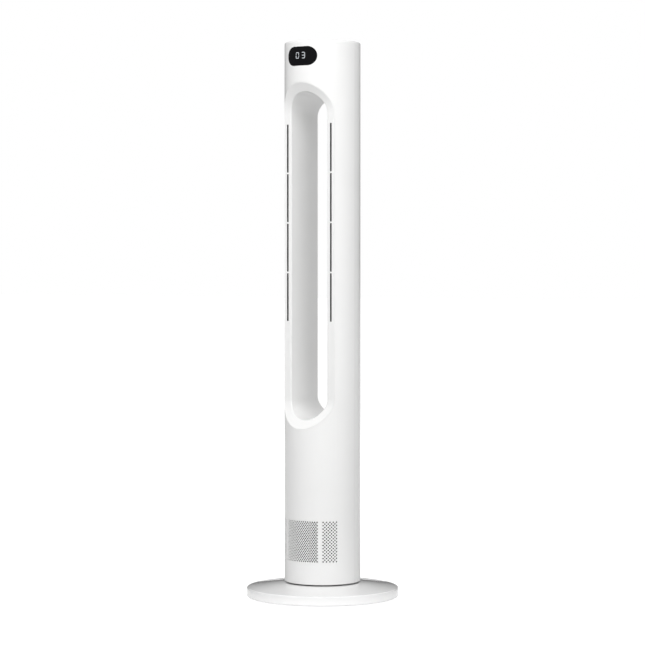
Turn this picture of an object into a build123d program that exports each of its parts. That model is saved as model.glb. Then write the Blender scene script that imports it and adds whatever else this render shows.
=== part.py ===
from build123d import *
import math
import os

# Bladeless tower fan on a round base. Millimetres, +Z up, the front faces -Y,
# and the origin is on the floor below the middle of the base.
# The heights form one chain, from the feet up to the top cap.

FRONT = -1
REAR = 1
LEFT = -1
RIGHT = 1

os.makedirs("parts", exist_ok=True)

# ---------------------------------------------------------------- fits
push_fit = 0.05  # piece set into the opening made for it
screw_fit = 0.05  # screw shank in its hole
slide_fit = 0.2  # inner plate inside the tower wall
joint_play = 0.3  # between pieces that turn against each other
seam_gap = 0.2  # between the two halves of the tower wall
cut_overrun = 1.0  # how far a cut runs out past the face it opens

# ---------------------------------------------------------------- base
base_radius = 136.0
base_rim_height = 16.4
base_wall = 2.5
base_edge_radius = 2.2
deck_margin = 2.0  # level deck outside the tower's foot
deck_rise = 9.0  # climb of the top face from rim to deck
deck_boss_thickness = 6.0
deck_boss_margin = 2.0
foot_stand = 1.5  # how far the feet stand out below the base
foot_radius = 10.0
foot_recess = 1.0
foot_count = 5
foot_margin = 7.5  # between a foot and the inside of the rim
foot_chamfer = 0.5
bottom_plate_thickness = 2.5
weight_thickness = 10.0
weight_chamfer = 0.8
weight_hub_clearance = 11.0
weight_socket_clearance = 12.5
base_post_radius = 5.0
base_post_margin = 8.0  # from the edge of the weight to the middle of a post
base_post_count = 5
base_post_clearance = 0.5
screw_recess = 1.2  # depth of the screw heads in the bottom plate

base_inner_radius = base_radius - base_wall
foot_ring_radius = base_inner_radius - foot_margin - foot_radius
base_bottom_z = foot_stand
rim_top_z = base_bottom_z + base_rim_height
deck_z = rim_top_z + deck_rise
plate_top_z = base_bottom_z + bottom_plate_thickness
base_screw_z = base_bottom_z + screw_recess
foot_start_angle = 90 + 180 / foot_count

# ---------------------------------------------------------------- power socket
socket_width = 9.0
socket_height = 10.0
socket_depth = 14.0
socket_nose_radius = 4.0
socket_bore_radius = 2.75
socket_bore_depth = 9.5
socket_pin_radius = 1.05
socket_recess = 1.0  # nose behind the outside of the rim
socket_inset = 1.0  # body behind the inside of the rim

socket_z = plate_top_z + socket_height / 2
socket_outer_y = base_inner_radius - socket_inset
weight_outer_radius = socket_outer_y - socket_depth - weight_socket_clearance
base_post_ring_radius = weight_outer_radius - base_post_margin

# ---------------------------------------------------------------- turntable
hub_neck_radius = 20.0
hub_bore_radius = 12.0
hub_spigot_radius = 15.0
hub_flange_radius = 37.0
hub_flange_thickness = 3.5
hub_screw_ring_radius = 29.0
hub_screw_count = 4
race_inner_radius = 22.5
race_outer_radius = 35.5
race_thickness = 1.8
groove_depth = 0.5
ball_radius = 2.5
ball_count = 20
cage_thickness = 2.0
cage_margin = 1.2

weight_inner_radius = hub_flange_radius + weight_hub_clearance
ball_ring_radius = (race_inner_radius + race_outer_radius) / 2
lower_race_top_z = deck_z + race_thickness
ball_z = lower_race_top_z - groove_depth + push_fit + ball_radius
upper_race_bottom_z = ball_z + ball_radius + joint_play - groove_depth
floor_z = upper_race_bottom_z + race_thickness

# ---------------------------------------------------------------- tower wall
tower_radius = 68.0
casing_wall = 2.5
skirt_gap = 2.1  # between the deck and the tower's lower edge
skirt_edge_radius = 1.4
seam_y = 2.0  # the halves meet just behind the widest place
ledge_width = 3.0  # inner ledges that carry the plates
ledge_thickness = 1.6

tower_bottom_z = deck_z + skirt_gap
inner_radius = tower_radius - casing_wall
plate_radius = inner_radius - slide_fit

# ---------------------------------------------------------------- tower floor
floor_thickness = 3.0
screw_block_x = 30.0
screw_block_width = 8.0
screw_block_length = 12.0

rear_boss_floor = 1.5  # wall left under a screw head in the rear wall's bosses

floor_top_z = floor_z + floor_thickness
rear_boss_radius = screw_block_width / 2 - slide_fit
screw_block_rear_y = math.sqrt(plate_radius**2 - (screw_block_x + screw_block_width / 2) ** 2)

# ---------------------------------------------------------------- swing drive
gear_module = 1.0
pressure_angle = 20.0
gear_backlash = 0.2
gear_dedendum = 1.25  # in modules, as the addendums below
tooth_foot = 0.2  # how far a tooth is let into the gear's body
sun_teeth = 60
pinion_teeth = 15
gear_width = 6.0
sun_addendum = 0.9
pinion_addendum = 1.0
gear_screw_count = 3
pinion_shaft_radius = 2.5
swing_motor_radius = 14.0
swing_motor_height = 17.0
swing_motor_offset = 7.0
swing_motor_edge = 1.0
swing_ear_spacing = 35.0
swing_ear_width = 7.0
swing_ear_thickness = 1.0
swing_post_radius = 3.5
shaft_socket_depth = 3.0
gear_lift = 1.2  # sun gear above the tower floor
swing_motor_lift = 1.75  # swing motor above the gears

gear_z = floor_top_z + gear_lift
gear_top_z = gear_z + gear_width
gear_distance = gear_module * (sun_teeth + pinion_teeth) / 2
gear_screw_ring_radius = (hub_spigot_radius + hub_neck_radius) / 2
swing_motor_y = gear_distance + swing_motor_offset
swing_motor_z = gear_top_z + swing_motor_lift

# ---------------------------------------------------------------- electronics
board_thickness = 1.6
board_width = 56.0
board_depth = 26.0
board_margin = 3.0  # between the board's corners and the edge of the tower floor
board_lift = 13.0
board_post_radius = 2.8
board_post_inset = 3.2
capacitor_radius = 4.0
capacitor_height = 10.0
capacitor_edge = 0.6
capacitor_pitch = 11.0
capacitor_count = 2
connector_width = 12.0
connector_height = 7.0
connector_depth = 6.0
connector_wall = 1.0
connector_floor = 1.5
connector_pitch = 20.0
connector_count = 2

board_z = floor_top_z + board_lift
board_front_y = math.sqrt(plate_radius**2 - (board_width / 2) ** 2) - board_margin
board_y = board_depth / 2 - board_front_y

# ---------------------------------------------------------------- air intake
deck_clearance = 1.1
intake_deck_thickness = 2.0
vent_sill = 1.0
vent_hole_radius = 1.35
vent_rows = 13
vent_row_pitch = 5.84
front_vent_columns = 31
front_vent_pitch = 1.82  # degrees between neighbouring columns
side_vent_columns = 9
side_vent_pitch = 2.58
side_vent_azimuth = 46.7  # degrees from the middle of the front
grille_border = 1.45
grille_wall = 1.0
inlet_gap = 3.2
inlet_thickness = 2.0
inlet_throat_radius = 40.0
inlet_bell_radius = 12.0
screen_wall = 0.8

intake_deck_z = swing_motor_z + swing_motor_height + deck_clearance
grille_z = intake_deck_z + intake_deck_thickness + vent_sill
grille_height = (vent_rows - 1) * vent_row_pitch + 2 * (vent_hole_radius + grille_border)
inlet_z = grille_z + grille_height + inlet_gap
inlet_top_z = inlet_z + inlet_thickness
throat_z = inlet_z + inlet_bell_radius

# ---------------------------------------------------------------- impeller
impeller_height = 50.0
impeller_hub_radius = 38.0
impeller_nose_radius = 9.0
impeller_shell = 3.0  # wall of the hollow hub
impeller_bead = 4.0  # straight edge of the hub, and the flare round its nose
impeller_tip_gap = 1.0
impeller_back_gap = 3.0
impeller_entry_gap = 1.5
blade_entry_rise = 1.0  # blades start this far above the impeller's lower plane
blade_belly = 0.36  # share of a blade's lean that it has reached half way out
blade_count = 11
blade_thickness = 1.6
blade_sweep = 38.0  # degrees that a blade leans back from root to tip
shaft_radius = 4.0
shaft_nose = 7.0
shaft_chamfer = 0.5
nut_across_flats = 13.0
nut_height = 4.0
housing_wall = 2.0
housing_shoulder = 5.3  # from the housing's outside to the edge of its flange
housing_flange = 2.0
cone_lift = 3.0  # the cone ends this far above the impeller

impeller_z = throat_z + impeller_entry_gap
impeller_top_z = impeller_z + impeller_height
cone_top_z = impeller_top_z + cone_lift
housing_outer_radius = plate_radius - housing_shoulder
housing_inner_radius = housing_outer_radius - housing_wall

# ---------------------------------------------------------------- guide vanes and motor
pod_radius = 32.0
pod_wall = 2.0
pod_height = 46.0
vane_count = 9
vane_thickness = 1.8
vane_height = 28.0
vane_sweep = 22.0
motor_radius = 26.0
motor_height = 34.0
motor_wall = 2.0
gasket_thickness = 1.5
motor_screw_ring_radius = 16.0
motor_screw_count = 3
rotor_radius = 13.0
rotor_height = 20.0
rotor_chamfer = 0.8
stator_gap = 0.6
stator_radius = 23.0
stator_height = 18.0
stator_slot_count = 9
stator_slot_width = 4.0
stator_slot_margin = 2.0
bearing_radius = 8.0
bearing_width = 3.0
pod_cap_height = 22.0
pod_headroom = 5.5  # between the pod's cap and the manifold

pod_floor_z = impeller_top_z + impeller_back_gap
gasket_z = pod_floor_z + pod_wall
motor_z = gasket_z + gasket_thickness
pod_top_z = pod_floor_z + pod_height
housing_top_z = pod_top_z + pod_cap_height + pod_headroom

# ---------------------------------------------------------------- slot
manifold_thickness = 3.0
face_rise = 15.65  # from the manifold to the lower end of the face round the slot
slot_span = 505.9  # between the middles of the slot's two arcs
slot_half_width = 39.2
face_width = 14.97  # between the slot and the round wall
bezel_wall = 2.5
bezel_lip = 1.0
bezel_edge_radius = 1.8  # rounding where the face turns into the slot
face_overrun = 8.0  # how far the face's bends are drawn out past the round wall
lip_gap = 0.3
liner_wall = 2.2
slit_width = 3.7
slit_lip = 0.8  # thickness of the face right beside an air slit
slit_relief = 6.0  # width of the opening behind a slit
slit_inset = 8.0  # from the slot to the middle of the air slits
slit_drop = 16.2  # from the middle of the upper arc to the slits' top end
slit_pitch = 88.6
slit_bridge = 3.0
slit_count = 4
duct_wall = 1.6
duct_clearance = 0.3
duct_wall_clearance = 0.9
duct_head = 12.0
duct_rib_depth = 8.0

manifold_z = housing_top_z
manifold_top_z = manifold_z + manifold_thickness
face_half_width = slot_half_width + face_width
bezel_flat_y = math.sqrt(tower_radius**2 - face_half_width**2)
slot_low_z = manifold_top_z + face_rise + face_half_width
slot_high_z = slot_low_z + slot_span
slot_middle_z = (slot_low_z + slot_high_z) / 2
slit_x = slot_half_width + slit_inset
slit_top_z = slot_high_z - slit_drop
duct_top_z = slit_top_z + duct_head
duct_inner_x = slot_half_width + liner_wall + duct_clearance
duct_half_depth = bezel_flat_y - bezel_wall - duct_clearance
duct_radius = inner_radius - duct_wall_clearance

# ---------------------------------------------------------------- head
head_gap = 5.53  # from the upper end of the face round the slot to the head plate
head_plate_thickness = 3.0
display_rise = 40.9  # from the head plate to the middle of the display
display_half_width = 31.6
display_height = 33.8
display_thickness = 2.0
digit_height = 10.9
digit_width = 7.0
digit_pitch = 12.7
digit_rise = 1.3  # middle of the digits above the middle of the window
segment_width = 0.9
segment_gap = 0.25
module_width = 28.0
module_height = 19.0
module_depth = 8.0
module_clearance = 0.3
module_chamfer = 0.4
display_board_half_width = 26.0
display_board_height = 36.0
bracket_thickness = 2.0
top_rise = 27.9  # from the middle of the display to the top
top_edge_radius = 3.2
cap_thickness = 1.5
cap_margin = 0.5  # flat rim between the cap and the rounded top edge
cap_seat_width = 3.0
cap_skirt_height = 6.0
cap_skirt_wall = 2.0

head_z = slot_high_z + face_half_width + head_gap
head_top_z = head_z + head_plate_thickness
display_z = head_z + display_rise
digit_z = display_z + digit_rise
tower_top_z = display_z + top_rise
cap_radius = tower_radius - top_edge_radius - cap_margin
module_front_y = -(
    math.sqrt((tower_radius - display_thickness) ** 2 - (module_width / 2) ** 2) - module_clearance
)
display_board_y = module_front_y + module_depth

# ---------------------------------------------------------------- screws
pan_m4 = {"shank": 2.0, "length": 8.0, "head": 3.8, "height": 2.4}
pan_m3 = {"shank": 1.5, "length": 6.0, "head": 2.8, "height": 1.8}
pan_m2 = {"shank": 1.0, "length": 5.0, "head": 1.9, "height": 1.2}
long_m3 = {"shank": 1.5, "length": 9.0, "head": 2.8, "height": 1.8}
gear_screw = {"shank": 1.0, "length": 10.0, "head": 1.9, "height": 1.2}
head_rounding = 0.4  # share of a screw head's height that its edge is rounded by
cross_width = 0.24  # share of the head's radius
cross_depth = 0.6  # share of the head's height
hole_overrun = 0.5  # how much deeper a hole is than its screw


# ================================================================ helpers
def save(name, piece):
    """Label one finished piece and write its file."""
    piece.label = name
    export_step(piece, f"parts/{name}.step")


def section(*points):
    """Closed outline from (radius, height) points, ready to revolve."""
    with BuildSketch(Plane.XZ) as outline:
        with BuildLine():
            Polyline(*points, close=True)
        make_face()
    return outline.sketch


def ring(radius_in, radius_out, z, height):
    """Flat ring standing on height z."""
    with BuildPart() as body:
        with BuildSketch(Plane.XY.offset(z)):
            Circle(radius_out)
            Circle(radius_in, mode=Mode.SUBTRACT)
        extrude(amount=height)
    return body.part


def sector(radius_in, radius_out, z, height, azimuth, half_angle):
    """Piece of a ring round the tower's axis, azimuth degrees from the front."""
    reach = radius_out / math.cos(math.radians(half_angle)) + cut_overrun
    middle = math.radians(azimuth - 90)
    half = math.radians(half_angle)
    with BuildPart() as body:
        with BuildSketch(Plane.XY.offset(z)):
            Circle(radius_out)
            Circle(radius_in, mode=Mode.SUBTRACT)
            with BuildLine():
                Polyline(
                    (0, 0),
                    (reach * math.cos(middle - half), reach * math.sin(middle - half)),
                    (reach * math.cos(middle + half), reach * math.sin(middle + half)),
                    close=True,
                )
            make_face(mode=Mode.INTERSECT)
        extrude(amount=height)
    return body.part


def screw(size):
    """Cross-head screw with its head's seat at the origin and its shank along -Z."""
    cross = size["head"]
    slot = cross * cross_width
    with BuildPart() as body:
        with BuildSketch():
            Circle(size["head"])
        extrude(amount=size["height"])
        fillet(body.edges().sort_by(Axis.Z)[-1], size["height"] * head_rounding)
        with BuildSketch():
            Circle(size["shank"])
        extrude(amount=-size["length"])
        with BuildSketch(Plane.XY.offset(size["height"])):
            Rectangle(cross, slot)
            Rectangle(slot, cross)
        extrude(amount=-size["height"] * cross_depth, mode=Mode.SUBTRACT)
    return body.part


def screw_hole(size):
    """Hole for a screw's shank, from the origin along -Z."""
    with BuildPart() as body:
        with BuildSketch():
            Circle(size["shank"] + screw_fit)
        extrude(amount=-size["length"] - hole_overrun)
    return body.part


def gear_outline(teeth, addendum, start_angle):
    """Spur gear outline with involute flanks."""
    pitch_radius = gear_module * teeth / 2
    circle_radius = pitch_radius * math.cos(math.radians(pressure_angle))
    root_radius = pitch_radius - gear_dedendum * gear_module
    tip_radius = pitch_radius + addendum * gear_module
    flank_start = max(circle_radius, root_radius)

    def involute(radius):
        ratio = max(radius / circle_radius, 1.0)
        return math.sqrt(ratio**2 - 1) - math.acos(1 / ratio)

    half_angle = (math.pi * gear_module / 2 - gear_backlash) / (2 * pitch_radius)
    steps = 5
    radii = [flank_start + (tip_radius - flank_start) * i / steps for i in range(steps + 1)]
    angles = [half_angle + involute(pitch_radius) - involute(r) for r in radii]
    radii.insert(0, root_radius - tooth_foot * gear_module)
    angles.insert(0, angles[0])
    upper = [(r * math.cos(a), r * math.sin(a)) for r, a in zip(radii, angles)]
    lower = [(x, -y) for x, y in reversed(upper)]
    with BuildSketch() as tooth:
        with BuildLine():
            Polyline(*upper, *lower, close=True)
        make_face()
    with BuildSketch() as outline:
        Circle(root_radius)
        with PolarLocations(0, teeth, start_angle=start_angle):
            add(tooth.sketch)
    return outline.sketch


def swept_blades(count, radius_in, radius_out, sweep, thickness):
    """Flat pattern of curved blades that lean back by sweep degrees."""
    middle_radius = (radius_in + radius_out) / 2
    lean = math.radians(sweep)
    belly = lean * blade_belly
    with BuildSketch() as blade:
        with BuildLine():
            ThreePointArc(
                (radius_in, 0),
                (middle_radius * math.cos(belly), middle_radius * math.sin(belly)),
                (radius_out * math.cos(lean), radius_out * math.sin(lean)),
            )
        trace(line_width=thickness)
    with BuildSketch() as pattern:
        with PolarLocations(0, count):
            add(blade.sketch)
    return pattern.sketch


def recess_slab(side, near, far):
    """Slab across the tower between two copies of the face beside the slot.

    The face is flat along the slot and bends outwards at both ends on a
    hyperbola, so that it meets the round wall in a true pill outline. The two
    copies are moved inwards from that face by near and far.
    """
    reach = math.sqrt((tower_radius + face_overrun) ** 2 - bezel_flat_y**2)
    steps = 6

    def end_points(shift, start_z, way):
        heights = [reach * i / steps for i in range(steps + 1)]
        return [
            (side * (math.hypot(bezel_flat_y, h) - shift), start_z + way * h) for h in heights
        ]

    def edge(shift):
        """Upper and lower bend of one copy."""
        slope = reach / math.hypot(bezel_flat_y, reach)
        upper = Spline(
            *end_points(shift, slot_high_z, 1), tangents=[(0, 1), (side * slope, 1)]
        )
        lower = Spline(
            *end_points(shift, slot_low_z, -1), tangents=[(0, -1), (side * slope, -1)]
        )
        Line(lower @ 0, upper @ 0)
        return upper, lower

    with BuildPart() as slab:
        with BuildSketch(Plane.YZ):
            with BuildLine():
                near_upper, near_lower = edge(near)
                far_upper, far_lower = edge(far)
                Line(near_upper @ 1, far_upper @ 1)
                Line(near_lower @ 1, far_lower @ 1)
            make_face()
        extrude(amount=tower_radius + cut_overrun, both=True)
    return slab.part


def pill(half_width, half_length):
    """Upright pill that runs through the whole tower from front to rear."""
    with BuildPart() as body:
        with BuildSketch(Plane.XZ):
            with Locations((0, slot_middle_z)):
                SlotCenterToCenter(slot_span, 2 * half_width, rotation=90)
        extrude(amount=half_length, both=True)
    return body.part


# ================================================================ base
def cone_z(radius):
    """Height of the base's top face at a radius."""
    deck_radius = tower_radius + deck_margin
    return deck_z - deck_rise * (radius - deck_radius) / (base_radius - deck_radius)


deck_radius = tower_radius + deck_margin
cover_opening_radius = hub_neck_radius + push_fit
deck_underside_z = deck_z - deck_boss_thickness
deck_boss_radius = hub_flange_radius + deck_boss_margin
hub_screw_z = deck_underside_z - hub_flange_thickness

with BuildPart() as base_hole_pattern:
    with PolarLocations(base_post_ring_radius, base_post_count, start_angle=90):
        with Locations(Location((0, 0, base_screw_z), (180, 0, 0))):
            add(screw_hole(pan_m4))
base_screw_holes = base_hole_pattern.part

with BuildPart() as hub_hole_pattern:
    with PolarLocations(hub_screw_ring_radius, hub_screw_count):
        with Locations(Location((0, 0, hub_screw_z), (180, 0, 0))):
            add(screw_hole(pan_m4))
hub_screw_holes = hub_hole_pattern.part

with BuildPart() as gear_hole_pattern:
    with PolarLocations(gear_screw_ring_radius, gear_screw_count):
        with Locations((0, 0, gear_top_z)):
            add(screw_hole(gear_screw))
gear_screw_holes = gear_hole_pattern.part

with BuildPart() as base_cover:
    with BuildSketch(Plane.XZ) as cover_section:
        with BuildLine():
            Polyline(
                (base_radius, base_bottom_z),
                (base_radius, rim_top_z),
                (deck_radius, deck_z),
                (cover_opening_radius, deck_z),
                (cover_opening_radius, deck_underside_z),
                (deck_boss_radius, deck_underside_z),
                (deck_boss_radius, deck_z - base_wall),
                (deck_radius, deck_z - base_wall),
                (base_inner_radius, rim_top_z - base_wall),
                (base_inner_radius, base_bottom_z),
                close=True,
            )
        make_face()
        fillet(cover_section.vertices().group_by(Axis.X)[-1], base_edge_radius)
    revolve(axis=Axis.Z)
    with BuildSketch(Plane.XY.offset(plate_top_z)):
        with PolarLocations(base_post_ring_radius, base_post_count, start_angle=90):
            Circle(base_post_radius)
    extrude(amount=cone_z(base_post_ring_radius) - base_wall / 2 - plate_top_z)
    with BuildSketch(Plane.XZ.offset(-base_radius - cut_overrun)):
        with Locations((0, socket_z)):
            Circle(socket_nose_radius + push_fit)
    extrude(amount=base_wall + 3 * cut_overrun, mode=Mode.SUBTRACT)
    add(base_screw_holes, mode=Mode.SUBTRACT)
    add(hub_screw_holes, mode=Mode.SUBTRACT)
save("base_cover", base_cover.part)

with BuildPart() as base_plate:
    with BuildSketch(Plane.XY.offset(base_bottom_z)):
        Circle(base_inner_radius - push_fit)
    extrude(amount=bottom_plate_thickness)
    with BuildSketch(Plane.XY.offset(base_bottom_z)):
        with PolarLocations(foot_ring_radius, foot_count, start_angle=foot_start_angle):
            Circle(foot_radius + push_fit)
    extrude(amount=foot_recess, mode=Mode.SUBTRACT)
    with BuildSketch(Plane.XY.offset(base_bottom_z)):
        with PolarLocations(base_post_ring_radius, base_post_count, start_angle=90):
            Circle(pan_m4["head"] + slide_fit)
    extrude(amount=screw_recess, mode=Mode.SUBTRACT)
    add(base_screw_holes, mode=Mode.SUBTRACT)
save("base_plate", base_plate.part)

with BuildPart() as base_weight:
    with BuildSketch(Plane.XY.offset(plate_top_z)):
        Circle(weight_outer_radius)
        Circle(weight_inner_radius, mode=Mode.SUBTRACT)
        with PolarLocations(base_post_ring_radius, base_post_count, start_angle=90):
            Circle(base_post_radius + base_post_clearance, mode=Mode.SUBTRACT)
    extrude(amount=weight_thickness)
    top_edges = base_weight.edges().filter_by(GeomType.CIRCLE).group_by(Axis.Z)[-1]
    chamfer(top_edges, weight_chamfer)
save("base_weight", base_weight.part)

with BuildPart() as rubber_feet:
    with BuildSketch():
        with PolarLocations(foot_ring_radius, foot_count, start_angle=foot_start_angle):
            Circle(foot_radius)
    extrude(amount=foot_stand + foot_recess)
    chamfer(rubber_feet.edges().group_by(Axis.Z)[0], foot_chamfer)
save("rubber_feet", rubber_feet.part)

with BuildPart() as base_screws:
    with PolarLocations(base_post_ring_radius, base_post_count, start_angle=90):
        with Locations(Location((0, 0, base_screw_z), (180, 0, 0))):
            add(screw(pan_m4))
save("base_screws", base_screws.part)

with BuildPart() as power_socket:
    with BuildSketch(Plane.XZ.offset(-socket_outer_y)):
        with Locations((0, socket_z)):
            Rectangle(socket_width, socket_height)
    extrude(amount=socket_depth)
    with BuildSketch(Plane.XZ.offset(-base_radius + socket_recess)):
        with Locations((0, socket_z)):
            Circle(socket_nose_radius)
    extrude(amount=base_wall)
    with BuildSketch(Plane.XZ.offset(-base_radius + socket_recess)):
        with Locations((0, socket_z)):
            Circle(socket_bore_radius)
            Circle(socket_pin_radius, mode=Mode.SUBTRACT)
    extrude(amount=socket_bore_depth, mode=Mode.SUBTRACT)
save("power_socket", power_socket.part)

# ================================================================ turntable
with BuildPart() as pivot_hub:
    revolve(
        section(
            (hub_bore_radius, deck_underside_z - hub_flange_thickness),
            (hub_flange_radius, deck_underside_z - hub_flange_thickness),
            (hub_flange_radius, deck_underside_z),
            (hub_neck_radius, deck_underside_z),
            (hub_neck_radius, gear_z),
            (hub_spigot_radius, gear_z),
            (hub_spigot_radius, gear_top_z),
            (hub_bore_radius, gear_top_z),
        ),
        axis=Axis.Z,
    )
    add(hub_screw_holes, mode=Mode.SUBTRACT)
    add(gear_screw_holes, mode=Mode.SUBTRACT)
save("pivot_hub", pivot_hub.part)

with BuildPart() as hub_screws:
    with PolarLocations(hub_screw_ring_radius, hub_screw_count):
        with Locations(Location((0, 0, hub_screw_z), (180, 0, 0))):
            add(screw(pan_m4))
save("hub_screws", hub_screws.part)

with BuildPart() as lower_race:
    add(ring(race_inner_radius, race_outer_radius, deck_z, race_thickness))
    with Locations((0, 0, ball_z)):
        Torus(ball_ring_radius, ball_radius + push_fit, mode=Mode.SUBTRACT)
save("lower_race", lower_race.part)

with BuildPart() as bearing_balls:
    with Locations((0, 0, ball_z)):
        with PolarLocations(ball_ring_radius, ball_count):
            Sphere(ball_radius)
save("bearing_balls", bearing_balls.part)

with BuildPart() as ball_cage:
    add(
        ring(
            ball_ring_radius - ball_radius - cage_margin,
            ball_ring_radius + ball_radius + cage_margin,
            ball_z - cage_thickness / 2,
            cage_thickness,
        )
    )
    with Locations((0, 0, ball_z)):
        with PolarLocations(ball_ring_radius, ball_count):
            Sphere(ball_radius + push_fit, mode=Mode.SUBTRACT)
save("ball_cage", ball_cage.part)

with BuildPart() as upper_race:
    add(ring(race_inner_radius, race_outer_radius, upper_race_bottom_z, race_thickness))
    with Locations((0, 0, ball_z)):
        Torus(ball_ring_radius, ball_radius + joint_play, mode=Mode.SUBTRACT)
save("upper_race", upper_race.part)

with BuildPart() as sun_gear:
    with BuildSketch(Plane.XY.offset(gear_z)):
        add(gear_outline(sun_teeth, sun_addendum, 90))
        Circle(hub_spigot_radius + push_fit, mode=Mode.SUBTRACT)
    extrude(amount=gear_width)
    add(gear_screw_holes, mode=Mode.SUBTRACT)
save("sun_gear", sun_gear.part)

with BuildPart() as gear_screws:
    with PolarLocations(gear_screw_ring_radius, gear_screw_count):
        with Locations((0, 0, gear_top_z)):
            add(screw(gear_screw))
save("gear_screws", gear_screws.part)

with BuildPart() as drive_pinion:
    with BuildSketch(Plane.XY.offset(gear_z)):
        with Locations((0, gear_distance)):
            add(gear_outline(pinion_teeth, pinion_addendum, 180 / pinion_teeth - 90))
            Circle(pinion_shaft_radius + push_fit, mode=Mode.SUBTRACT)
    extrude(amount=gear_width)
save("drive_pinion", drive_pinion.part)

with BuildPart() as pinion_shaft:
    with BuildSketch(Plane.XY.offset(gear_z)):
        with Locations((0, gear_distance)):
            Circle(pinion_shaft_radius)
    extrude(amount=swing_motor_z + shaft_socket_depth - joint_play - gear_z)
save("pinion_shaft", pinion_shaft.part)

# ================================================================ tower floor and drive
ear_places = [(-swing_ear_spacing / 2, swing_motor_y), (swing_ear_spacing / 2, swing_motor_y)]
board_post_x = board_width / 2 - board_post_inset
board_post_y = board_depth / 2 - board_post_inset
board_post_places = [
    (x, board_y + y) for x in (-board_post_x, board_post_x) for y in (-board_post_y, board_post_y)
]


def screw_blocks(z):
    """Pair of blocks on a plate's top that take the screws through the rear wall."""
    with BuildPart() as blocks:
        with BuildSketch(Plane.XY.offset(z)):
            with Locations(
                (-screw_block_x, screw_block_rear_y - screw_block_length / 2),
                (screw_block_x, screw_block_rear_y - screw_block_length / 2),
            ):
                Rectangle(screw_block_width, screw_block_length)
        extrude(amount=screw_block_width)
        with Locations(
            *[
                Location((x, screw_block_rear_y, z + screw_block_width / 2), (-90, 0, 0))
                for x in (-screw_block_x, screw_block_x)
            ]
        ):
            add(screw_hole(long_m3), mode=Mode.SUBTRACT)
    return blocks.part


with BuildPart() as tower_floor:
    add(ring(hub_neck_radius + joint_play, plate_radius, floor_z, floor_thickness))
    with BuildSketch(Plane.XY.offset(floor_top_z)):
        with Locations(*ear_places):
            Circle(swing_post_radius)
    extrude(amount=swing_motor_z - floor_top_z)
    with BuildSketch(Plane.XY.offset(floor_top_z)):
        with Locations(*board_post_places):
            Circle(board_post_radius)
    extrude(amount=board_lift)
    add(screw_blocks(floor_top_z))
    with Locations(*[(x, y, swing_motor_z + swing_ear_thickness) for x, y in ear_places]):
        add(screw_hole(pan_m3), mode=Mode.SUBTRACT)
    with Locations(*[(x, y, board_z + board_thickness) for x, y in board_post_places]):
        add(screw_hole(pan_m2), mode=Mode.SUBTRACT)
save("tower_floor", tower_floor.part)

with BuildPart() as swing_motor:
    with BuildSketch(Plane.XY.offset(swing_motor_z)):
        with Locations((0, swing_motor_y)):
            Circle(swing_motor_radius)
    extrude(amount=swing_motor_height)
    fillet(swing_motor.edges().group_by(Axis.Z)[-1], swing_motor_edge)
    with BuildSketch(Plane.XY.offset(swing_motor_z)):
        with Locations((0, swing_motor_y)):
            SlotCenterToCenter(swing_ear_spacing, swing_ear_width)
    extrude(amount=swing_ear_thickness)
    with BuildSketch(Plane.XY.offset(swing_motor_z)):
        with Locations((0, gear_distance)):
            Circle(pinion_shaft_radius + joint_play)
    extrude(amount=shaft_socket_depth, mode=Mode.SUBTRACT)
    with Locations(*[(x, y, swing_motor_z + swing_ear_thickness) for x, y in ear_places]):
        add(screw_hole(pan_m3), mode=Mode.SUBTRACT)
save("swing_motor", swing_motor.part)

with BuildPart() as swing_motor_screws:
    with Locations(*[(x, y, swing_motor_z + swing_ear_thickness) for x, y in ear_places]):
        add(screw(pan_m3))
save("swing_motor_screws", swing_motor_screws.part)

with BuildPart() as control_board:
    with BuildSketch(Plane.XY.offset(board_z)):
        with Locations((0, board_y)):
            Rectangle(board_width, board_depth)
    extrude(amount=board_thickness)
    with Locations(*[(x, y, board_z + board_thickness) for x, y in board_post_places]):
        add(screw_hole(pan_m2), mode=Mode.SUBTRACT)
save("control_board", control_board.part)

with BuildPart() as board_screws:
    with Locations(*[(x, y, board_z + board_thickness) for x, y in board_post_places]):
        add(screw(pan_m2))
save("board_screws", board_screws.part)

with BuildPart() as board_capacitors:
    with BuildSketch(Plane.XY.offset(board_z + board_thickness)):
        with Locations((0, board_y + board_depth / 4)):
            with GridLocations(capacitor_pitch, 0, capacitor_count, 1):
                Circle(capacitor_radius)
    extrude(amount=capacitor_height)
    fillet(board_capacitors.edges().group_by(Axis.Z)[-1], capacitor_edge)
save("board_capacitors", board_capacitors.part)

with BuildPart() as board_connectors:
    with BuildSketch(Plane.XY.offset(board_z + board_thickness)):
        with Locations((0, board_y - board_depth / 4)):
            with GridLocations(connector_pitch, 0, connector_count, 1):
                Rectangle(connector_width, connector_depth)
    extrude(amount=connector_height)
    with BuildSketch(Plane.XY.offset(board_z + board_thickness + connector_height)):
        with Locations((0, board_y - board_depth / 4)):
            with GridLocations(connector_pitch, 0, connector_count, 1):
                Rectangle(
                    connector_width - 2 * connector_wall, connector_depth - 2 * connector_wall
                )
    extrude(amount=connector_floor - connector_height, mode=Mode.SUBTRACT)
save("board_connectors", board_connectors.part)

# ================================================================ air intake
with BuildPart() as intake_deck:
    with BuildSketch(Plane.XY.offset(intake_deck_z)):
        Circle(plate_radius)
    extrude(amount=intake_deck_thickness)
save("intake_deck", intake_deck.part)

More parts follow.
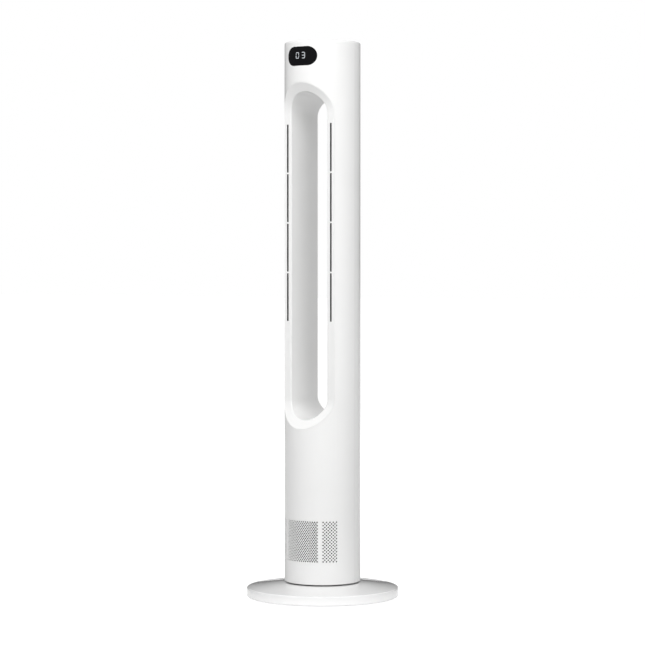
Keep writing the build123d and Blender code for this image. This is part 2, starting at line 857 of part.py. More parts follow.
with BuildPart() as inlet_ring:
    with BuildSketch(Plane.XZ) as inlet_section:
        with BuildLine():
            bell_radius = inlet_throat_radius + inlet_bell_radius
            outside = CenterArc((bell_radius, throat_z), inlet_bell_radius, 270, -90)
            inside = CenterArc(
                (bell_radius, throat_z), inlet_bell_radius - inlet_thickness, 270, -90
            )
            Line(outside @ 1, inside @ 1)
            Polyline(
                outside @ 0,
                (plate_radius, inlet_z),
                (plate_radius, inlet_top_z),
                inside @ 0,
            )
        make_face()
    revolve(axis=Axis.Z)
save("inlet_ring", inlet_ring.part)

screen_z = intake_deck_z + intake_deck_thickness
screen_height = inlet_z - ledge_thickness - push_fit - screen_z
dust_screen = ring(plate_radius - screen_wall, plate_radius, screen_z, screen_height)
save("dust_screen", dust_screen)

cone_foot_radius = inlet_throat_radius + inlet_thickness
with BuildPart() as fan_housing:
    revolve(
        section(
            (housing_inner_radius, housing_top_z),
            (plate_radius, housing_top_z),
            (plate_radius, housing_top_z - housing_flange),
            (housing_outer_radius, housing_top_z - housing_flange),
            (housing_outer_radius, inlet_top_z),
            (housing_inner_radius, inlet_top_z),
            (housing_inner_radius, cone_top_z - housing_wall * 2),
            (cone_foot_radius + housing_wall, throat_z),
            (cone_foot_radius, throat_z),
            (housing_inner_radius, cone_top_z),
        ),
        axis=Axis.Z,
    )
save("fan_housing", fan_housing.part)

# ================================================================ impeller
nose_z = impeller_z - impeller_nose_radius / 2
channel_slope = (housing_inner_radius - cone_foot_radius) / (cone_top_z - throat_z)
tip_foot_radius = (
    cone_foot_radius + channel_slope * (impeller_z - throat_z) - impeller_tip_gap
)
tip_top_radius = tip_foot_radius + channel_slope * impeller_height
blade_entry_z = impeller_z + blade_entry_rise

with BuildPart() as impeller:
    with BuildSketch(Plane.XY.offset(impeller_z)):
        add(
            swept_blades(
                blade_count,
                impeller_nose_radius,
                tip_top_radius + cut_overrun,
                blade_sweep,
                blade_thickness,
            )
        )
    extrude(amount=impeller_height)
    revolve(
        section(
            (shaft_radius, blade_entry_z),
            (tip_foot_radius, blade_entry_z),
            (tip_top_radius, impeller_top_z),
            (shaft_radius, impeller_top_z),
        ),
        axis=Axis.Z,
        mode=Mode.INTERSECT,
    )
    revolve(
        section(
            (0, nose_z),
            (impeller_nose_radius, nose_z),
            (impeller_nose_radius + impeller_bead, impeller_z + impeller_nose_radius),
            (impeller_hub_radius, impeller_top_z - impeller_bead),
            (impeller_hub_radius, impeller_top_z),
            (0, impeller_top_z),
        ),
        axis=Axis.Z,
    )
    revolve(
        section(
            (impeller_nose_radius, impeller_top_z + cut_overrun),
            (impeller_nose_radius, impeller_top_z - impeller_height / 2),
            (impeller_hub_radius - impeller_shell, impeller_top_z - impeller_shell),
            (impeller_hub_radius - impeller_shell, impeller_top_z + cut_overrun),
        ),
        axis=Axis.Z,
        mode=Mode.SUBTRACT,
    )
    with BuildSketch(Plane.XY.offset(nose_z)):
        Circle(shaft_radius + push_fit)
    extrude(amount=impeller_height * 2, mode=Mode.SUBTRACT)
save("impeller", impeller.part)

rotor_z = motor_z + (motor_height - rotor_height) / 2
shaft_bottom_z = nose_z - shaft_nose
shaft_top_z = motor_z + motor_height - motor_wall - joint_play

with BuildPart() as motor_shaft:
    with BuildSketch(Plane.XY.offset(shaft_bottom_z)):
        Circle(shaft_radius)
    extrude(amount=shaft_top_z - shaft_bottom_z)
    chamfer(motor_shaft.edges().group_by(Axis.Z)[0], shaft_chamfer)
save("motor_shaft", motor_shaft.part)

with BuildPart() as impeller_nut:
    with BuildSketch(Plane.XY.offset(nose_z - nut_height)):
        RegularPolygon(nut_across_flats / 2, 6, major_radius=False)
        Circle(shaft_radius + push_fit, mode=Mode.SUBTRACT)
    extrude(amount=nut_height)
save("impeller_nut", impeller_nut.part)

with BuildPart() as motor_rotor:
    add(ring(shaft_radius + push_fit, rotor_radius, rotor_z, rotor_height))
    rim_edges = motor_rotor.edges().filter_by(GeomType.CIRCLE).sort_by(SortBy.RADIUS)[-2:]
    chamfer(rim_edges, rotor_chamfer)
save("motor_rotor", motor_rotor.part)

# ================================================================ guide vanes and motor
motor_top_z = motor_z + motor_height
lower_bearing_z = motor_z
upper_bearing_z = motor_top_z - motor_wall - bearing_width

with BuildPart() as motor_hole_pattern:
    with PolarLocations(motor_screw_ring_radius, motor_screw_count):
        with Locations(Location((0, 0, pod_floor_z), (180, 0, 0))):
            add(screw_hole(pan_m3))
motor_screw_holes = motor_hole_pattern.part

with BuildPart() as guide_vanes:
    with BuildSketch(Plane.XY.offset(pod_floor_z + (pod_height - vane_height) / 2)):
        add(
            swept_blades(
                vane_count,
                pod_radius - pod_wall / 2,
                housing_inner_radius + cut_overrun,
                vane_sweep,
                vane_thickness,
            )
        )
        Circle(housing_inner_radius - push_fit, mode=Mode.INTERSECT)
    extrude(amount=vane_height)
    add(ring(pod_radius - pod_wall, pod_radius, pod_floor_z, pod_height))
    add(ring(shaft_radius + joint_play, pod_radius, pod_floor_z, pod_wall))
    add(motor_screw_holes, mode=Mode.SUBTRACT)
save("guide_vanes", guide_vanes.part)

with BuildPart() as motor_gasket:
    add(ring(bearing_radius, motor_radius, gasket_z, gasket_thickness))
    add(motor_screw_holes, mode=Mode.SUBTRACT)
save("motor_gasket", motor_gasket.part)

with BuildPart() as motor_case:
    revolve(
        section(
            (bearing_radius + push_fit, motor_z),
            (motor_radius, motor_z),
            (motor_radius, motor_top_z),
            (0, motor_top_z),
            (0, motor_top_z - motor_wall),
            (bearing_radius + push_fit, motor_top_z - motor_wall),
            (bearing_radius + push_fit, upper_bearing_z - motor_wall),
            (bearing_radius + push_fit + motor_wall, upper_bearing_z - motor_wall),
            (bearing_radius + push_fit + motor_wall, motor_top_z - motor_wall),
            (motor_radius - motor_wall, motor_top_z - motor_wall),
            (motor_radius - motor_wall, motor_z + bearing_width),
            (bearing_radius + push_fit, motor_z + bearing_width),
        ),
        axis=Axis.Z,
    )
    add(motor_screw_holes, mode=Mode.SUBTRACT)
save("motor_case", motor_case.part)

with BuildPart() as motor_stator:
    with BuildSketch(Plane.XY.offset(motor_z + (motor_height - stator_height) / 2)):
        Circle(motor_radius - motor_wall - push_fit)
        Circle(rotor_radius + stator_gap, mode=Mode.SUBTRACT)
        with PolarLocations((rotor_radius + stator_radius) / 2, stator_slot_count):
            Rectangle(
                stator_radius - rotor_radius - 2 * stator_slot_margin,
                stator_slot_width,
                mode=Mode.SUBTRACT,
            )
    extrude(amount=stator_height)
save("motor_stator", motor_stator.part)

with BuildPart() as motor_bearings:
    add(ring(shaft_radius + push_fit, bearing_radius, lower_bearing_z, bearing_width))
    add(ring(shaft_radius + push_fit, bearing_radius, upper_bearing_z, bearing_width))
save("motor_bearings", motor_bearings.part)

with BuildPart() as motor_screws:
    with PolarLocations(motor_screw_ring_radius, motor_screw_count):
        with Locations(Location((0, 0, pod_floor_z), (180, 0, 0))):
            add(screw(pan_m3))
save("motor_screws", motor_screws.part)

cap_sphere_radius = (pod_radius**2 + pod_cap_height**2) / (2 * pod_cap_height)
with BuildPart() as pod_cap:
    with Locations((0, 0, pod_top_z + pod_cap_height - cap_sphere_radius)):
        Sphere(cap_sphere_radius)
        Sphere(cap_sphere_radius - pod_wall, mode=Mode.SUBTRACT)
    split(bisect_by=Plane.XY.offset(pod_top_z), keep=Keep.TOP)
save("pod_cap", pod_cap.part)


# ================================================================ air ducts
def duct_outline(side, inset):
    """Plan of the air duct beside the slot, inset from its outside."""
    with BuildSketch() as plan:
        Circle(duct_radius - inset)
        with Locations((side * (duct_inner_x + inset), 0)):
            Rectangle(
                tower_radius,
                2 * (duct_half_depth - inset),
                align=(Align.MIN if side > 0 else Align.MAX, Align.CENTER),
                mode=Mode.INTERSECT,
            )
    return plan.sketch


def slit_places(side):
    """Middles of the air slits on one side, as points of the front plane."""
    return [(side * slit_x, slit_top_z - slit_pitch * (i + 0.5)) for i in range(slit_count)]


def slit_row(side, width, near, far):
    """Row of openings on one side, from near to far behind the front face."""
    with BuildPart() as cuts:
        with BuildSketch(Plane.XZ.offset(bezel_flat_y - far)):
            with Locations(*slit_places(side)):
                Rectangle(width, slit_pitch - slit_bridge)
        extrude(amount=far - near)
    return cuts.part


def air_duct(side):
    """Channel beside the slot, closed at the top and open along the slits."""
    with BuildPart() as duct:
        with BuildSketch(Plane.XY.offset(manifold_top_z)):
            add(duct_outline(side, 0))
        extrude(amount=duct_top_z - manifold_top_z)
        with BuildSketch(Plane.XY.offset(manifold_top_z)):
            add(duct_outline(side, duct_wall))
        extrude(amount=duct_top_z - duct_wall - manifold_top_z, mode=Mode.SUBTRACT)
        for _, z in slit_places(side):
            with BuildSketch(Plane.XY.offset(z - duct_wall / 2)):
                add(duct_outline(side, duct_wall / 2))
                with Locations((0, -duct_half_depth)):
                    Rectangle(
                        2 * tower_radius,
                        2 * duct_rib_depth,
                        mode=Mode.INTERSECT,
                    )
            extrude(amount=duct_wall)
        duct_far = bezel_wall + duct_clearance + duct_wall + cut_overrun
        add(slit_row(side, slit_relief, bezel_wall, duct_far), mode=Mode.SUBTRACT)
    return duct.part


left_duct = air_duct(LEFT)
save("left_duct", left_duct)
right_duct = air_duct(RIGHT)
save("right_duct", right_duct)

with BuildPart() as duct_manifold:
    with BuildSketch(Plane.XY.offset(manifold_z)):
        Circle(plate_radius)
        for side in (LEFT, RIGHT):
            add(duct_outline(side, duct_wall), mode=Mode.SUBTRACT)
    extrude(amount=manifold_thickness)
    add(screw_blocks(manifold_top_z))
save("duct_manifold", duct_manifold.part)

# ================================================================ slot
front_space = recess_slab(FRONT, bezel_wall + push_fit, -tower_radius)
rear_space = recess_slab(REAR, bezel_wall + push_fit, -tower_radius)

with BuildPart() as slot_liner:
    add(pill(slot_half_width + liner_wall, tower_radius))
    add(pill(slot_half_width, tower_radius + cut_overrun), mode=Mode.SUBTRACT)
    add(front_space, mode=Mode.SUBTRACT)
    add(rear_space, mode=Mode.SUBTRACT)
save("slot_liner", slot_liner.part)


def on_visible_face(edge, side):
    """Whether an edge lies on the visible side of the face round the slot."""
    middle = edge.position_at(0.5)
    bend = max(middle.Z - slot_high_z, slot_low_z - middle.Z, 0)
    return abs(side * middle.Y - math.hypot(bezel_flat_y, bend)) < bezel_wall / 4


def bezel(side):
    """Face round the slot: a plate inside the wall with a thin lip on the wall's edge."""
    low_z = slot_low_z - tower_radius
    height = slot_span + 2 * tower_radius
    with BuildPart() as plate:
        with BuildSketch(Plane.XY.offset(low_z)):
            Circle(plate_radius)
        extrude(amount=height)
        add(recess_slab(side, 0, bezel_wall), mode=Mode.INTERSECT)
    with BuildPart() as face:
        with BuildSketch(Plane.XY.offset(low_z)):
            Circle(tower_radius)
        extrude(amount=height)
        add(recess_slab(side, 0, bezel_lip), mode=Mode.INTERSECT)
        add(plate.part)
        add(pill(slot_half_width, tower_radius + cut_overrun), mode=Mode.SUBTRACT)
        slot_edges = [e for e in face.edges(Select.LAST) if on_visible_face(e, side)]
        fillet(slot_edges, bezel_edge_radius)
        if side == FRONT:
            for row in (LEFT, RIGHT):
                add(slit_row(row, slit_width, -cut_overrun, bezel_wall), mode=Mode.SUBTRACT)
                add(slit_row(row, slit_relief, slit_lip, bezel_wall + cut_overrun), mode=Mode.SUBTRACT)
    return face.part


front_bezel = bezel(FRONT)
save("front_bezel", front_bezel)
rear_bezel = bezel(REAR)
save("rear_bezel", rear_bezel)


# ================================================================ vents
def vent_half_angle(columns, pitch):
    """Half the angle that a field of vent holes takes with its border."""
    edge = math.degrees((vent_hole_radius + grille_border) / tower_radius)
    return pitch * (columns - 1) / 2 + edge


def vent_places(columns, pitch):
    """Planes that face outwards at every hole of one staggered vent field."""
    first_z = grille_z + grille_border + vent_hole_radius
    places = []
    for column in range(columns):
        angle = math.radians(pitch * (column - (columns - 1) / 2) - 90)
        outwards = (math.cos(angle), math.sin(angle), 0)
        middle = (tower_radius * outwards[0], tower_radius * outwards[1])
        shift = column % 2
        for row in range(vent_rows - shift):
            z = first_z + vent_row_pitch * (row + shift / 2)
            places.append(Plane(origin=(*middle, z), z_dir=outwards))
    return places


def grille(columns, pitch):
    """Perforated panel that fills its window in the tower wall, facing the front."""
    with BuildPart() as panel:
        add(
            sector(
                tower_radius - grille_wall,
                tower_radius,
                grille_z + push_fit,
                grille_height - 2 * push_fit,
                0,
                vent_half_angle(columns, pitch) - math.degrees(push_fit / tower_radius),
            )
        )
        with Locations(*vent_places(columns, pitch)):
            Cylinder(vent_hole_radius, 4 * casing_wall, mode=Mode.SUBTRACT)
    return panel.part


wide_half_angle = vent_half_angle(front_vent_columns, front_vent_pitch)
side_half_angle = vent_half_angle(side_vent_columns, side_vent_pitch)
wide_panel = grille(front_vent_columns, front_vent_pitch)
side_panel = grille(side_vent_columns, side_vent_pitch)
vent_fields = {
    "front_grille": (wide_panel, wide_half_angle, 0),
    "front_left_grille": (side_panel, side_half_angle, -side_vent_azimuth),
    "front_right_grille": (side_panel, side_half_angle, side_vent_azimuth),
    "rear_grille": (wide_panel, wide_half_angle, 180),
    "rear_left_grille": (side_panel, side_half_angle, 180 + side_vent_azimuth),
    "rear_right_grille": (side_panel, side_half_angle, 180 - side_vent_azimuth),
}
for name, (panel, _, azimuth) in vent_fields.items():
    with BuildPart() as placed_grille:
        add(panel, rotation=(0, 0, azimuth))
    save(name, placed_grille.part)

# ================================================================ tower wall
ledge_heights = [floor_z, intake_deck_z, inlet_z, housing_top_z - housing_flange, head_z]
rear_screw_heights = [
    plate_z + screw_block_width / 2 for plate_z in (floor_top_z, manifold_top_z, head_top_z)
]
rear_boss_y = screw_block_rear_y + push_fit
rear_boss_top_y = math.sqrt(tower_radius**2 - (screw_block_x + rear_boss_radius) ** 2) - push_fit
rear_screw_places = [
    Location((x, rear_boss_y + rear_boss_floor, z), (-90, 0, 0))
    for x in (-screw_block_x, screw_block_x)
    for z in rear_screw_heights
]


def wall_shell():
    """Round wall with its rolled top edge and the inner ledges, all the way round."""
    with BuildPart() as shell:
        with BuildSketch(Plane.XZ) as outline:
            with BuildLine():
                Polyline(
                    (tower_radius, tower_bottom_z),
                    (tower_radius, tower_top_z),
                    (cap_radius + push_fit, tower_top_z),
                    (cap_radius + push_fit, tower_top_z - cap_thickness),
                    (cap_radius - cap_seat_width, tower_top_z - cap_thickness),
                    (cap_radius - cap_seat_width, tower_top_z - 2 * cap_thickness),
                    (inner_radius, tower_top_z - 2 * cap_thickness),
                    (inner_radius, tower_bottom_z),
                    close=True,
                )
            make_face()
            outer_corners = outline.vertices().group_by(Axis.X)[-1].sort_by(Axis.Y)
            fillet(outer_corners[0], skirt_edge_radius)
            outer_corners = outline.vertices().group_by(Axis.X)[-1].sort_by(Axis.Y)
            fillet(outer_corners[-1], top_edge_radius)
            for z in ledge_heights:
                with Locations((inner_radius + push_fit, z)):
                    Rectangle(
                        ledge_width + push_fit, ledge_thickness, align=(Align.MAX, Align.MAX)
                    )
        revolve(axis=Axis.Z)
    return shell.part


def casing(side, shell):
    """One half of the tower wall with its vent windows and its share of the slot."""
    cut_y = seam_y + side * seam_gap / 2
    keep = Keep.TOP if side == FRONT else Keep.BOTTOM
    with BuildPart() as half:
        add(shell)
        split(bisect_by=Plane.XZ.offset(-cut_y), keep=keep)
        add(recess_slab(side, bezel_lip + lip_gap, -tower_radius), mode=Mode.SUBTRACT)
        for name, (_, half_angle, azimuth) in vent_fields.items():
            if name.startswith("front") == (side == FRONT):
                add(
                    sector(
                        inner_radius - cut_overrun,
                        tower_radius + cut_overrun,
                        grille_z,
                        grille_height,
                        azimuth,
                        half_angle,
                    ),
                    mode=Mode.SUBTRACT,
                )
    return half.part


tower_shell = wall_shell()

with BuildPart() as front_casing:
    add(casing(FRONT, tower_shell))
    with BuildSketch(Plane.XZ.offset(tower_radius / 2)):
        with Locations((0, display_z)):
            SlotOverall(2 * (display_half_width + push_fit), display_height + 2 * push_fit)
    extrude(amount=tower_radius, mode=Mode.SUBTRACT)
save("front_casing", front_casing.part)

with BuildPart() as rear_casing:
    add(casing(REAR, tower_shell))
    with BuildSketch(Plane.XZ.offset(-rear_boss_y)):
        with Locations(*[(x, z) for x in (-screw_block_x, screw_block_x) for z in rear_screw_heights]):
            Circle(rear_boss_radius)
    extrude(amount=rear_boss_y - rear_boss_top_y)
    with Locations(*rear_screw_places):
        Cylinder(
            long_m3["head"] + slide_fit,
            tower_radius,
            align=(Align.CENTER, Align.CENTER, Align.MIN),
            mode=Mode.SUBTRACT,
        )
        add(screw_hole(long_m3), mode=Mode.SUBTRACT)
save("rear_casing", rear_casing.part)

with BuildPart() as casing_screws:
    with Locations(*rear_screw_places):
        add(screw(long_m3))
save("casing_screws", casing_screws.part)

# ================================================================ head
bracket_y = display_board_y + board_thickness
display_hole_x = display_board_half_width - board_post_inset
display_hole_z = display_board_height / 2 - board_post_inset
display_screw_places = [
    Location((x, display_board_y, display_z + z), (90, 0, 0))
    for x in (-display_hole_x, display_hole_x)
    for z in (-display_hole_z, display_hole_z)
]

with BuildPart() as head_plate:
    with BuildSketch(Plane.XY.offset(head_z)):
        Circle(plate_radius)
    extrude(amount=head_plate_thickness)
    with BuildSketch(Plane.XY.offset(head_z)):
        with Locations((0, bracket_y)):
            Rectangle(
                2 * display_board_half_width, bracket_thickness, align=(Align.CENTER, Align.MIN)
            )
    extrude(amount=display_rise + display_board_height / 2)
    add(screw_blocks(head_top_z))
    with Locations(*display_screw_places):
        add(screw_hole(pan_m2), mode=Mode.SUBTRACT)
save("head_plate", head_plate.part)

with BuildPart() as display_board:
    with BuildSketch(Plane.XZ.offset(-display_board_y)):
        with Locations((0, display_z)):
            Rectangle(2 * display_board_half_width, display_board_height)
    extrude(amount=-board_thickness)
    with Locations(*display_screw_places):
        add(screw_hole(pan_m2), mode=Mode.SUBTRACT)
save("display_board", display_board.part)

with BuildPart() as display_screws:
    with Locations(*display_screw_places):
        add(screw(pan_m2))
save("display_screws", display_screws.part)

with BuildPart() as digit_module:
    with BuildSketch(Plane.XZ.offset(-module_front_y)):
        with Locations((0, digit_z)):
            Rectangle(module_width, module_height)
    extrude(amount=-module_depth)
    chamfer(digit_module.edges().group_by(Axis.Y)[0], module_chamfer)
save("digit_module", digit_module.part)


# Segment names run clockwise from the top, with the middle bar last.
lit_segments = {-1: "abcdef", 1: "abcdg"}


def digit_outline():
    """Lit bars of both digits in the front plane."""
    bar = digit_width - segment_width
    half = (digit_height - segment_width) / 2
    places = {
        "a": (0, half, 0),
        "b": (bar / 2, half / 2, 90),
        "c": (bar / 2, -half / 2, 90),
        "d": (0, -half, 0),
        "e": (-bar / 2, -half / 2, 90),
        "f": (-bar / 2, half / 2, 90),
        "g": (0, 0, 0),
    }
    with BuildSketch(Plane.XZ) as bars:
        for digit, letters in lit_segments.items():
            for letter in letters:
                x, z, turn = places[letter]
                length = (half if turn else bar) - 2 * segment_gap
                flat = length - segment_width
                with BuildSketch(Plane.XZ, mode=Mode.PRIVATE) as segment:
                    with Locations(Location((digit * digit_pitch / 2 + x, digit_z + z), turn)):
                        Rectangle(flat, segment_width)
                        with Locations((-flat / 2, 0), (flat / 2, 0)):
                            Rectangle(
                                segment_width / math.sqrt(2),
                                segment_width / math.sqrt(2),
                                rotation=45,
                            )
                add(segment.sketch_local)
    return bars.sketch


with BuildPart() as digit_segments:
    add(
        ring(
            tower_radius - display_thickness,
            tower_radius,
            digit_z - digit_height,
            2 * digit_height,
        )
    )
    extrude(digit_outline(), amount=tower_radius + cut_overrun, mode=Mode.INTERSECT)
save("digit_segments", digit_segments.part)

with BuildPart() as display_window:
    add(
        ring(
            tower_radius - display_thickness,
            tower_radius,
            display_z - display_height,
            2 * display_height,
        )
    )
    with BuildSketch(Plane.XZ):
        with Locations((0, display_z)):
            SlotOverall(2 * display_half_width, display_height)
    extrude(amount=tower_radius + cut_overrun, mode=Mode.INTERSECT)
    add(digit_segments.part, mode=Mode.SUBTRACT)
save("display_window", display_window.part)

with BuildPart() as top_cap:
    with BuildSketch(Plane.XY.offset(tower_top_z - cap_thickness)):
        Circle(cap_radius)
    extrude(amount=cap_thickness)
    add(
        ring(
            cap_radius - cap_seat_width - push_fit - cap_skirt_wall,
            cap_radius - cap_seat_width - push_fit,
            tower_top_z - cap_thickness - cap_skirt_height,
            cap_skirt_height,
        )
    )
save("top_cap", top_cap.part)
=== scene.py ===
import logging
import math
from abc import ABC, abstractmethod
from dataclasses import dataclass
from enum import Enum
from typing import Sequence

import bmesh
import bpy
from mathutils import Matrix, Vector


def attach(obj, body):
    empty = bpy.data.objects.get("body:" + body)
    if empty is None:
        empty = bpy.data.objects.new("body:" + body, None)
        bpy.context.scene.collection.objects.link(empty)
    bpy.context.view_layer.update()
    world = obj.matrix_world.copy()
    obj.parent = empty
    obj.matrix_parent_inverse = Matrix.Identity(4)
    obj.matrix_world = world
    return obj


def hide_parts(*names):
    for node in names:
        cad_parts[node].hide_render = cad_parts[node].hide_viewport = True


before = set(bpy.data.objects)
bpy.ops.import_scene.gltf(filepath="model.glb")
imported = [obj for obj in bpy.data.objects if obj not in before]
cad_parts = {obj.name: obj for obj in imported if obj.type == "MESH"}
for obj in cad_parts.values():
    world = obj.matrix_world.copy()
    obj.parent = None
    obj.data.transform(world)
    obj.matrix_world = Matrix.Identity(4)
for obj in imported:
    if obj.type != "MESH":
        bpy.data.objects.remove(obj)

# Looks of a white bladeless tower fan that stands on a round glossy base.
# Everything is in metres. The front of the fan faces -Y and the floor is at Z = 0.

LOG = logging.getLogger("tower_fan")
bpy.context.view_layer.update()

Colour = tuple[float, float, float]
Value = float | Colour | bpy.types.NodeSocket
WHITE: Colour = (1.0, 1.0, 1.0)


class Body(Enum):
    """Bodies that move as one."""

    BASE = "base"
    TOWER = "tower"
    PINION = "pinion"
    IMPELLER = "impeller"


class Slot(Enum):
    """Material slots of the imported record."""

    BODY_WHITE = "body_white"
    DARK_PLASTIC = "dark_plastic"
    FOOT_RUBBER = "foot_rubber"
    STEEL = "steel"
    DIGIT_LIGHT = "digit_light"


class Lay(Enum):
    """How a metal surface was worked."""

    TURNED = "turned round the tower's axis"
    DRAWN = "drawn along one direction"
    CAST = "cast in a mould"
    POLISHED = "polished all over"


# ---------------------------------------------------------------- node trees
class Graph:
    """A node tree with short calls that add nodes and join them."""

    def __init__(self, tree: bpy.types.NodeTree) -> None:
        """Takes over a tree and empties it.

        Args:
            tree: The tree of a material or of the world.
        """
        self.tree = tree
        tree.nodes.clear()

    def add(
        self, kind: str, inputs: dict[str | int, Value] | None = None, **settings: object
    ) -> bpy.types.Node:
        """Adds one node.

        Args:
            kind: Blender's name for the node, without its ShaderNode prefix.
            inputs: Values of its inputs. A socket given here is linked.
            settings: Properties of the node itself.

        Returns:
            The new node.
        """
        node = self.tree.nodes.new("ShaderNode" + kind)
        for name, setting in settings.items():
            setattr(node, name, setting)
        for key, value in (inputs or {}).items():
            socket = node.inputs[key]
            if isinstance(value, bpy.types.NodeSocket):
                self.tree.links.new(value, socket)
            elif isinstance(value, tuple) and socket.type == "RGBA":
                socket.default_value = (*value, 1.0)
            else:
                socket.default_value = value
        return node

    def position(self) -> bpy.types.NodeSocket:
        """The piece's own coordinates in metres."""
        return self.add("TexCoord").outputs["Object"]

    def noise(
        self, size: float, detail: float = 2.0, stretch: Colour = (1.0, 1.0, 1.0)
    ) -> bpy.types.NodeSocket:
        """Smooth random values from 0 to 1.

        Args:
            size: Width of one blob in metres.
            detail: Number of finer layers on top.
            stretch: How many times longer the blobs are along X, Y and Z.

        Returns:
            The values.
        """
        scale = tuple(1.0 / (size * s) for s in stretch)
        mapping = self.add("Mapping", {"Vector": self.position(), "Scale": scale})
        texture = self.add(
            "TexNoise", {"Vector": mapping.outputs[0], "Scale": 1.0, "Detail": detail}
        )
        return texture.outputs["Fac"]

    def span(
        self, value: bpy.types.NodeSocket, low: float, high: float,
        from_low: float = 0.25, from_high: float = 0.75,
    ) -> bpy.types.NodeSocket:
        """Stretches values onto a new range.

        Args:
            value: The values.
            low: Result at the lower end.
            high: Result at the upper end.
            from_low: Value at the lower end.
            from_high: Value at the upper end.

        Returns:
            The new values.
        """
        node = self.add(
            "MapRange",
            {
                "Value": value,
                "From Min": from_low,
                "From Max": from_high,
                "To Min": low,
                "To Max": high,
            },
        )
        return node.outputs["Result"]

    def math(self, operation: str, first: Value, second: Value = 0.0) -> bpy.types.NodeSocket:
        """One step of arithmetic on values."""
        return self.add("Math", {0: first, 1: second}, operation=operation).outputs[0]

    def mix_values(
        self, share: Value, first: Value, second: Value
    ) -> bpy.types.NodeSocket:
        """Value between two values, by the share of the second."""
        return self.add("Mix", {0: share, 2: first, 3: second}, data_type="FLOAT").outputs[0]

    def mix(self, share: Value, first: Value, second: Value) -> bpy.types.NodeSocket:
        """Colour between two colours.

        Args:
            share: How much of the second colour shows.
            first: The first colour.
            second: The second colour.

        Returns:
            The mixed colour.
        """
        node = self.add("Mix", data_type="RGBA")
        inputs = {0: share, 6: first, 7: second}
        for key, value in inputs.items():
            if isinstance(value, bpy.types.NodeSocket):
                self.tree.links.new(value, node.inputs[key])
            else:
                node.inputs[key].default_value = (*value, 1.0) if key else value
        return node.outputs[2]

    def bump(
        self, height: bpy.types.NodeSocket, depth: float,
        under: bpy.types.NodeSocket | None = None,
    ) -> bpy.types.NodeSocket:
        """Normal of a surface raised by a height.

        Args:
            height: Height from 0 to 1.
            depth: Metres that a height of 1 stands for.
            under: Normal of a coarser bump below this one.

        Returns:
            The normal.
        """
        inputs: dict[str | int, Value] = {"Height": height, "Distance": depth, "Strength": 1.0}
        if under is not None:
            inputs["Normal"] = under
        return self.add("Bump", inputs).outputs["Normal"]

    def surface(self, shader: bpy.types.NodeSocket) -> None:
        """Joins a shader to the output."""
        self.add("OutputMaterial", {"Surface": shader})


# ---------------------------------------------------------------- finishes
@dataclass(frozen=True)
class Finish(ABC):
    """A surface finish that any piece can wear.

    Attributes:
        name: Name of the material.
        colour: Its own colour, linear.
        roughness: How dull it is, from 0 to 1.
    """

    name: str
    colour: Colour
    roughness: float

    @abstractmethod
    def shader(self, graph: Graph) -> bpy.types.NodeSocket:
        """Builds the finish's nodes.

        Args:
            graph: The material's empty tree.

        Returns:
            The shader that shows the finish.
        """

    def material(self) -> bpy.types.Material:
        """The finish as a material, made the first time and shared after that."""
        found = bpy.data.materials.get(self.name)
        if found is not None:
            return found
        made = bpy.data.materials.new(self.name)
        made.use_nodes = True
        graph = Graph(made.node_tree)
        graph.surface(self.shader(graph))
        return made

    def shades(self, graph: Graph, blotch: float, drift: float) -> bpy.types.NodeSocket:
        """Slow drift of the colour across a piece.

        Args:
            graph: The material's tree.
            blotch: Width of one patch in metres.
            drift: Share by which the darkest patch falls short of the lightest.

        Returns:
            The colour.
        """
        dark = tuple(c * (1.0 - drift) for c in self.colour)
        return graph.mix(graph.span(graph.noise(blotch, 3.0), 0.0, 1.0), self.colour, dark)


@dataclass(frozen=True)
class MouldedPlastic(Finish):
    """Injection-moulded plastic with an eroded grain and a slight flow ripple.

    Attributes:
        grain: Width of one grain in metres.
        grain_depth: Depth of the grain in metres.
        ripple_depth: Depth of the slow ripple in metres.
        drift: How far the colour drifts.
        gloss: Weight of a clear glossy skin.
        gloss_roughness: How dull that skin is.
    """

    grain: float = 0.0005
    grain_depth: float = 0.000004
    ripple_depth: float = 0.00001
    drift: float = 0.02
    gloss: float = 0.0
    gloss_roughness: float = 0.05

    def shader(self, graph: Graph) -> bpy.types.NodeSocket:
        """Grain over a ripple, with patches a little duller than others."""
        ripple = graph.bump(graph.noise(0.03, 1.0), self.ripple_depth)
        grain = graph.bump(graph.noise(self.grain, 2.0), self.grain_depth, ripple)
        spread = 0.03
        patches = graph.noise(0.02, 1.0)
        dull = graph.span(
            patches, self.roughness - spread, self.roughness + spread, 0.1, 0.9
        )
        return graph.add(
            "BsdfPrincipled",
            {
                "Base Color": self.shades(graph, 0.06, self.drift),
                "Roughness": dull,
                "Normal": grain,
                "Coat Weight": self.gloss,
                "Coat Roughness": self.gloss_roughness,
            },
        ).outputs[0]


